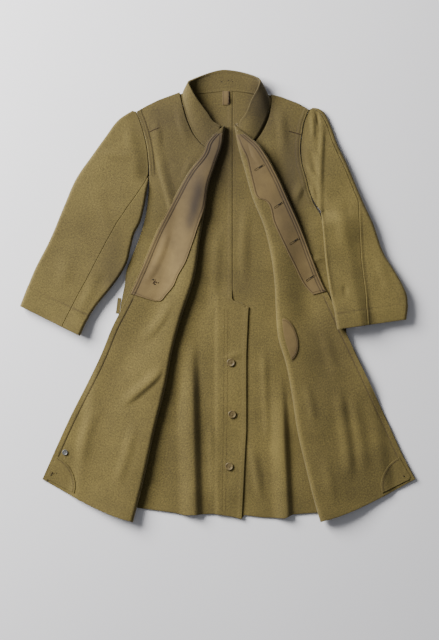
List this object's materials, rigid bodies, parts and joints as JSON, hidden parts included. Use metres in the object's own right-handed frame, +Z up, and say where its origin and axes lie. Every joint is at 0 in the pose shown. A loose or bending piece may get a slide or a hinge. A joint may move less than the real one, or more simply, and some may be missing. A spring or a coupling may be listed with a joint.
{
  "type": "military overcoat",
  "caption": "Knee-length wool overcoat with a stand collar, laid flat on its back with both fronts turned back to show the inside, facings and rear vent.",
  "frame": {"origin": "the middle of the laid-out coat's box, on the surface that it lies on", "axes": "+Z up from the surface, +Y towards the collar, +X towards the wearer's left side"},
  "size_m": [0.9861, 1.1276, 0.0323],
  "materials": {
    "wool": "thick felted wool, heathered khaki",
    "wool_inside": "inside of the thick wool, slightly rougher",
    "cotton": "plain woven brown cotton, matt",
    "button": "horn-like, slightly polished",
    "button_metal": "dull grey metal"
  },
  "bodies": {
    "root": {"back_r": "wool_inside", "back_l": "wool_inside", "front_r": "wool", "front_l": "wool", "front_r_turned": "wool_inside", "front_l_turned": "wool_inside", "sleeve_top_r": "wool", "sleeve_under_r": "wool", "sleeve_top_l": "wool", "sleeve_under_l": "wool", "collar_outer": "wool", "collar_inner": "wool_inside", "facing_r": "cotton", "strip_l": "cotton", "corner_patch_r": "wool_inside", "corner_patch_l": "wool_inside", "pocket_patch_l": "cotton", "hanger_loop": "cotton", "side_tab_r": "wool", "vent_button_1": "button", "vent_button_2": "button", "vent_button_3": "button", "edge_button_r": "button_metal"}
  },
  "joints": []
}
